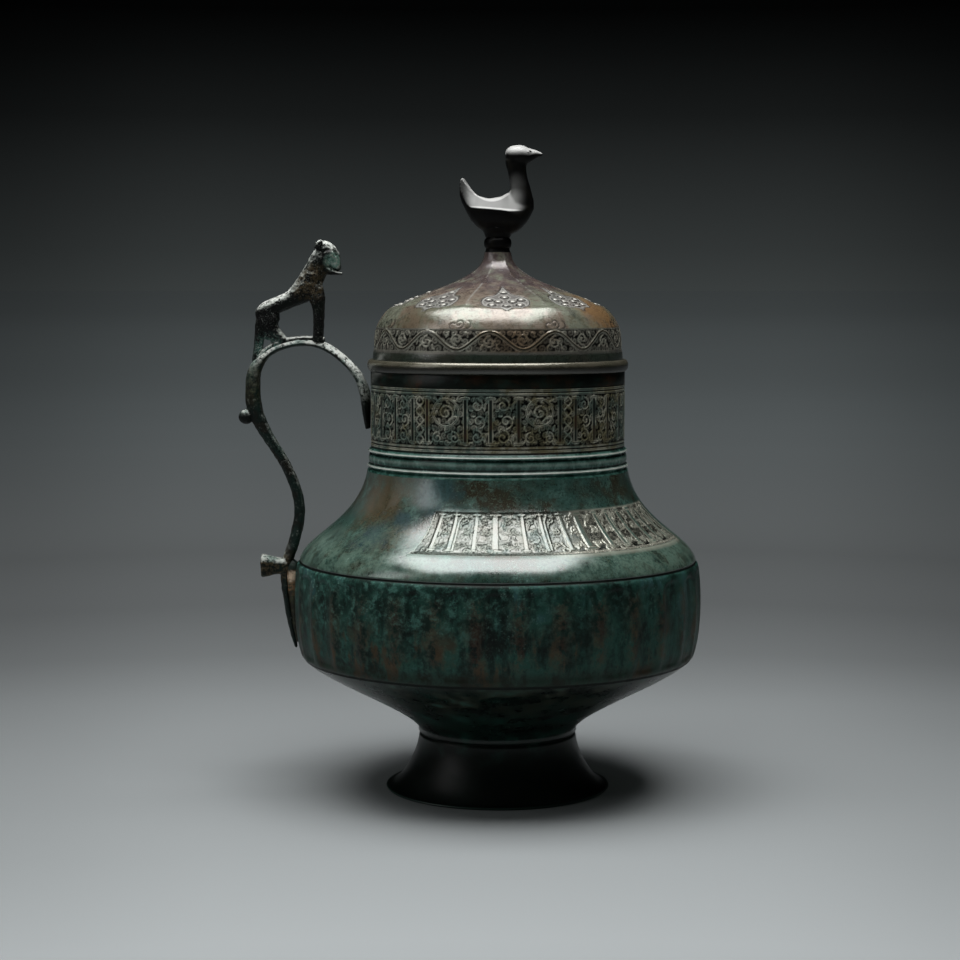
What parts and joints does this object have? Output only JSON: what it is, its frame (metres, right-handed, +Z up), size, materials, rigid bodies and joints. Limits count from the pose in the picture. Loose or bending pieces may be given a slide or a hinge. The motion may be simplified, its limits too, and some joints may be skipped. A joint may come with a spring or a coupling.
{
  "type": "lidded jug",
  "caption": "Bronze jug on a flared foot with a fluted belly, engraved neck, lift-off domed lid with a bird finial, and an S-shaped handle that carries a small beast.",
  "frame": {"origin": "middle of the bottom of the whole jug's box, handle included, on the surface that the foot stands on", "axes": "+Z up along the jug's height, +X the way the bird looks, away from the handle, +Y to complete a right-handed frame"},
  "size_m": [0.2378, 0.2098, 0.3314],
  "materials": {
    "vessel_patina": "dark green and teal patina with brown worn ridges, satin",
    "shoulder_patina": "green to bronze-brown patina, smooth and half glossy",
    "neck_patina": "dark brown patina with lighter worn edges, engraved",
    "handle_patina": "dark green to black patina, rubbed lighter on top",
    "solder": "bare pinkish solder, dull",
    "lid_bronze": "brown copper tone with a purple tinge, polished by use",
    "worn_brass": "pale worn brass, half glossy",
    "dark_bronze": "nearly black bronze, polished"
  },
  "bodies": {
    "vessel": {"foot": "vessel_patina", "lower_bowl": "vessel_patina", "belly_drum": "vessel_patina", "shoulder": "shoulder_patina", "neck": "neck_patina", "handle": "handle_patina", "handle_solder": "solder", "handle_lion": "handle_patina"},
    "lid": {"lid_dome": "lid_bronze", "lid_rim_ring": "worn_brass", "lid_flange": "lid_bronze", "finial_collar": "lid_bronze", "bird_finial": "dark_bronze", "finial_rove": "worn_brass"}
  },
  "joints": [
    {"name": "lid_lift", "type": "slide", "parent": "vessel", "child": "lid", "axis": [0, 0, 1], "range_m": [0, 0.09]}
  ]
}
